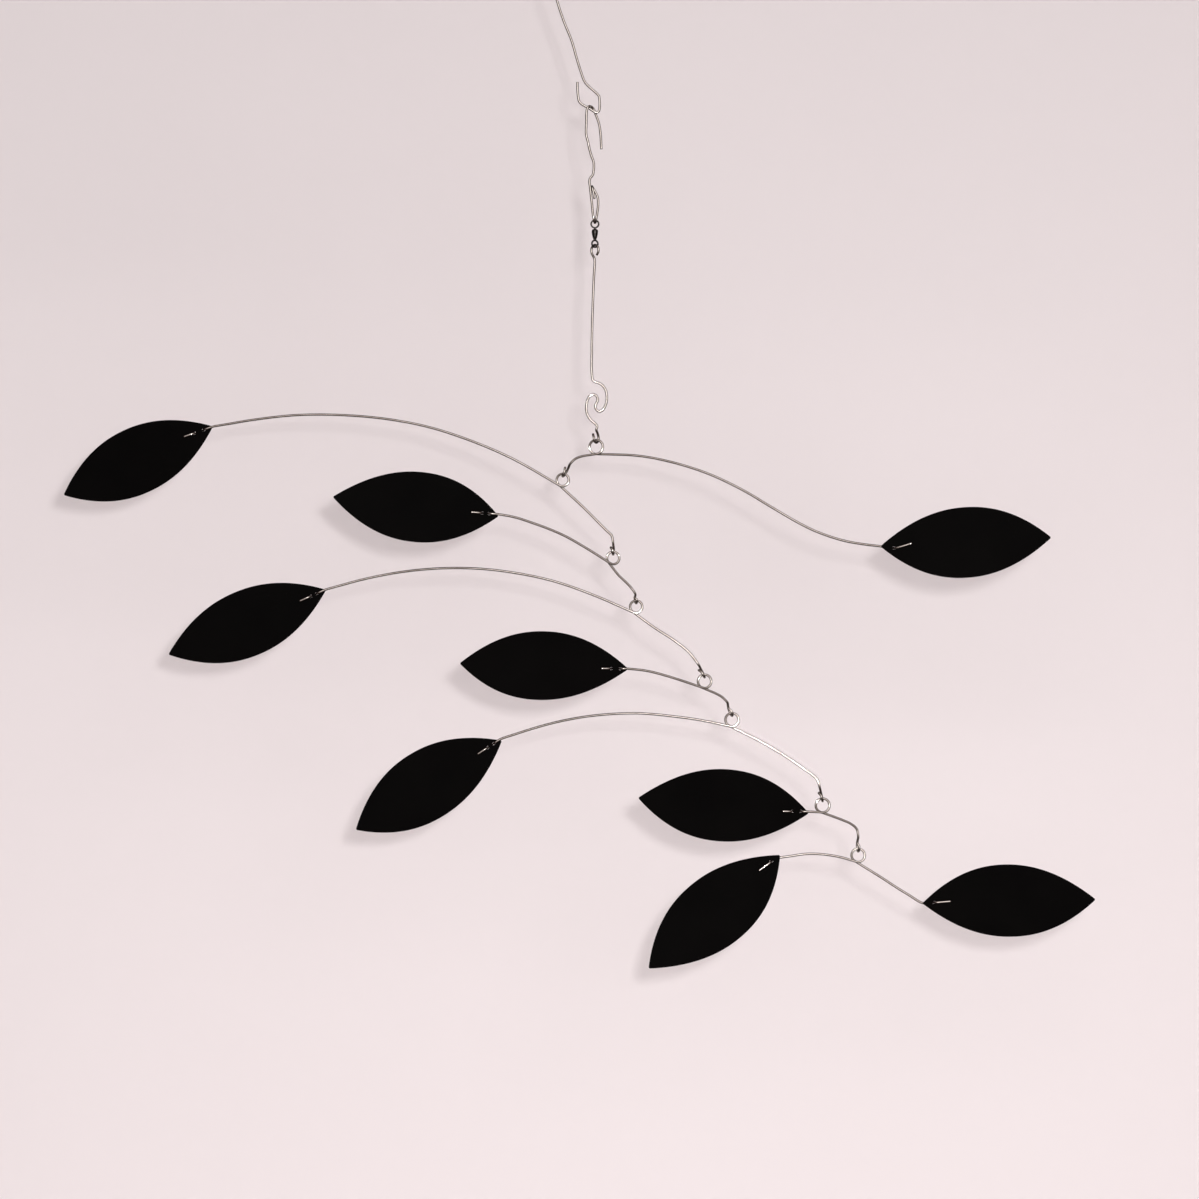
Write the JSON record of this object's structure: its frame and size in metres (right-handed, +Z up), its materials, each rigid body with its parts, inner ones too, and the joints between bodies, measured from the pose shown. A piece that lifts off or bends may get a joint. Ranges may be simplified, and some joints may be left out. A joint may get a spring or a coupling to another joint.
{
  "type": "hanging mobile sculpture",
  "caption": "Kinetic mobile of pointed black leaves balanced on curved steel wire arms, each hung in the next, under a wire hanger and a barrel swivel.",
  "frame": {"origin": "middle of the hanging eye at the top of the hanger wire", "axes": "+Z up, opposite to the way it hangs; -Y towards the pictured front; +X to the right seen from the front"},
  "size_m": [0.5238, 0.0872, 0.5338],
  "materials": {
    "steel_wire": "satin",
    "black_nickel": "satin",
    "leaf_sheet": "matte"
  },
  "bodies": {
    "hanger": {"hanger_wire": "steel_wire", "hook_wire": "steel_wire", "swivel_top_ring": "black_nickel", "swivel_barrel": "black_nickel"},
    "suspension": {"swivel_bottom_ring": "black_nickel", "suspension_wire": "steel_wire"},
    "balance_arm_1": {"arm_1": "steel_wire", "leaf_1": "leaf_sheet"},
    "balance_arm_2": {"arm_2": "steel_wire", "leaf_2": "leaf_sheet"},
    "balance_arm_3": {"arm_3": "steel_wire", "leaf_3": "leaf_sheet"},
    "balance_arm_4": {"arm_4": "steel_wire", "leaf_4": "leaf_sheet"},
    "balance_arm_5": {"arm_5": "steel_wire", "leaf_5": "leaf_sheet"},
    "balance_arm_6": {"arm_6": "steel_wire", "leaf_6": "leaf_sheet"},
    "balance_arm_7": {"arm_7": "steel_wire", "leaf_7": "leaf_sheet"},
    "balance_arm_8": {"arm_8": "steel_wire", "leaf_8": "leaf_sheet", "leaf_9": "leaf_sheet"}
  },
  "joints": [
    {"name": "swivel_turn", "type": "hinge", "parent": "hanger", "child": "suspension", "pos_m": [-0.00055, 0, -0.165], "axis": [0, 0, 1], "continuous": true},
    {"name": "arm_1_turn", "type": "hinge", "parent": "suspension", "child": "balance_arm_1", "pos_m": [0.0001, 0, -0.26815], "axis": [0, 0, 1], "range_deg": [-50, 10]},
    {"name": "arm_2_turn", "type": "hinge", "parent": "balance_arm_1", "child": "balance_arm_2", "pos_m": [-0.01666, 0.0029, -0.28455], "axis": [0, 0, 1], "range_deg": [-34, 26]},
    {"name": "arm_3_turn", "type": "hinge", "parent": "balance_arm_2", "child": "balance_arm_3", "pos_m": [0.00858, 0.00001, -0.32365], "axis": [0, 0, 1], "range_deg": [-51, 9]},
    {"name": "arm_4_turn", "type": "hinge", "parent": "balance_arm_3", "child": "balance_arm_4", "pos_m": [0.02013, 0.00334, -0.34805], "axis": [0, 0, 1], "range_deg": [-12, 48]},
    {"name": "arm_5_turn", "type": "hinge", "parent": "balance_arm_4", "child": "balance_arm_5", "pos_m": [0.05435, 0.001, -0.38535], "axis": [0, 0, 1], "range_deg": [-48, 12]},
    {"name": "arm_6_turn", "type": "hinge", "parent": "balance_arm_5", "child": "balance_arm_6", "pos_m": [0.06824, 0.00487, -0.40475], "axis": [0, 0, 1], "range_deg": [-12, 48]},
    {"name": "arm_7_turn", "type": "hinge", "parent": "balance_arm_6", "child": "balance_arm_7", "pos_m": [0.11342, 0.00157, -0.44745], "axis": [0, 0, 1], "range_deg": [-45, 15]},
    {"name": "arm_8_turn", "type": "hinge", "parent": "balance_arm_7", "child": "balance_arm_8", "pos_m": [0.13153, 0.00542, -0.47275], "axis": [0, 0, 1], "range_deg": [-23, 37]}
  ]
}
